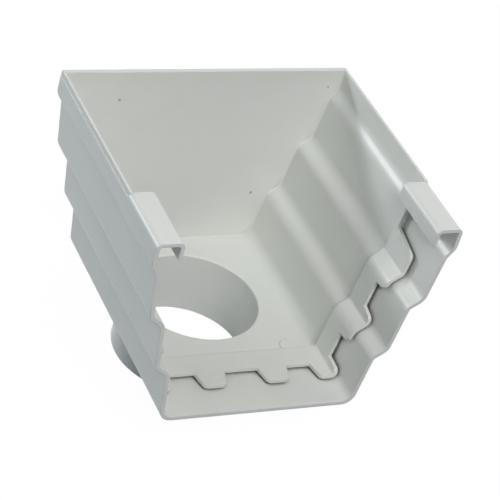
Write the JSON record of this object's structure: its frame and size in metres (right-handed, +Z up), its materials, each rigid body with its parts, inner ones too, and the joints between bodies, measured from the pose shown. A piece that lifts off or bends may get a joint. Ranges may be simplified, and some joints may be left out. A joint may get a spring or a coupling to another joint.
{
  "type": "gutter stop end outlet",
  "caption": "One-piece moulded closed end of a stepped rainwater gutter, with a toothed socket and hooked rims at its mouth and a round outlet spigot under its floor.",
  "frame": {"origin": "on the axis of the outlet, at the lower end of the spigot", "axes": "+X across the trough, +Y along the trough from its open mouth to the end plate, +Z up along the outlet's axis"},
  "size_m": [0.1604, 0.1376, 0.144],
  "materials": {
    "white_pvc": "smooth moulded off-white"
  },
  "bodies": {
    "root": {"stop_end_outlet": "white_pvc"}
  },
  "joints": []
}
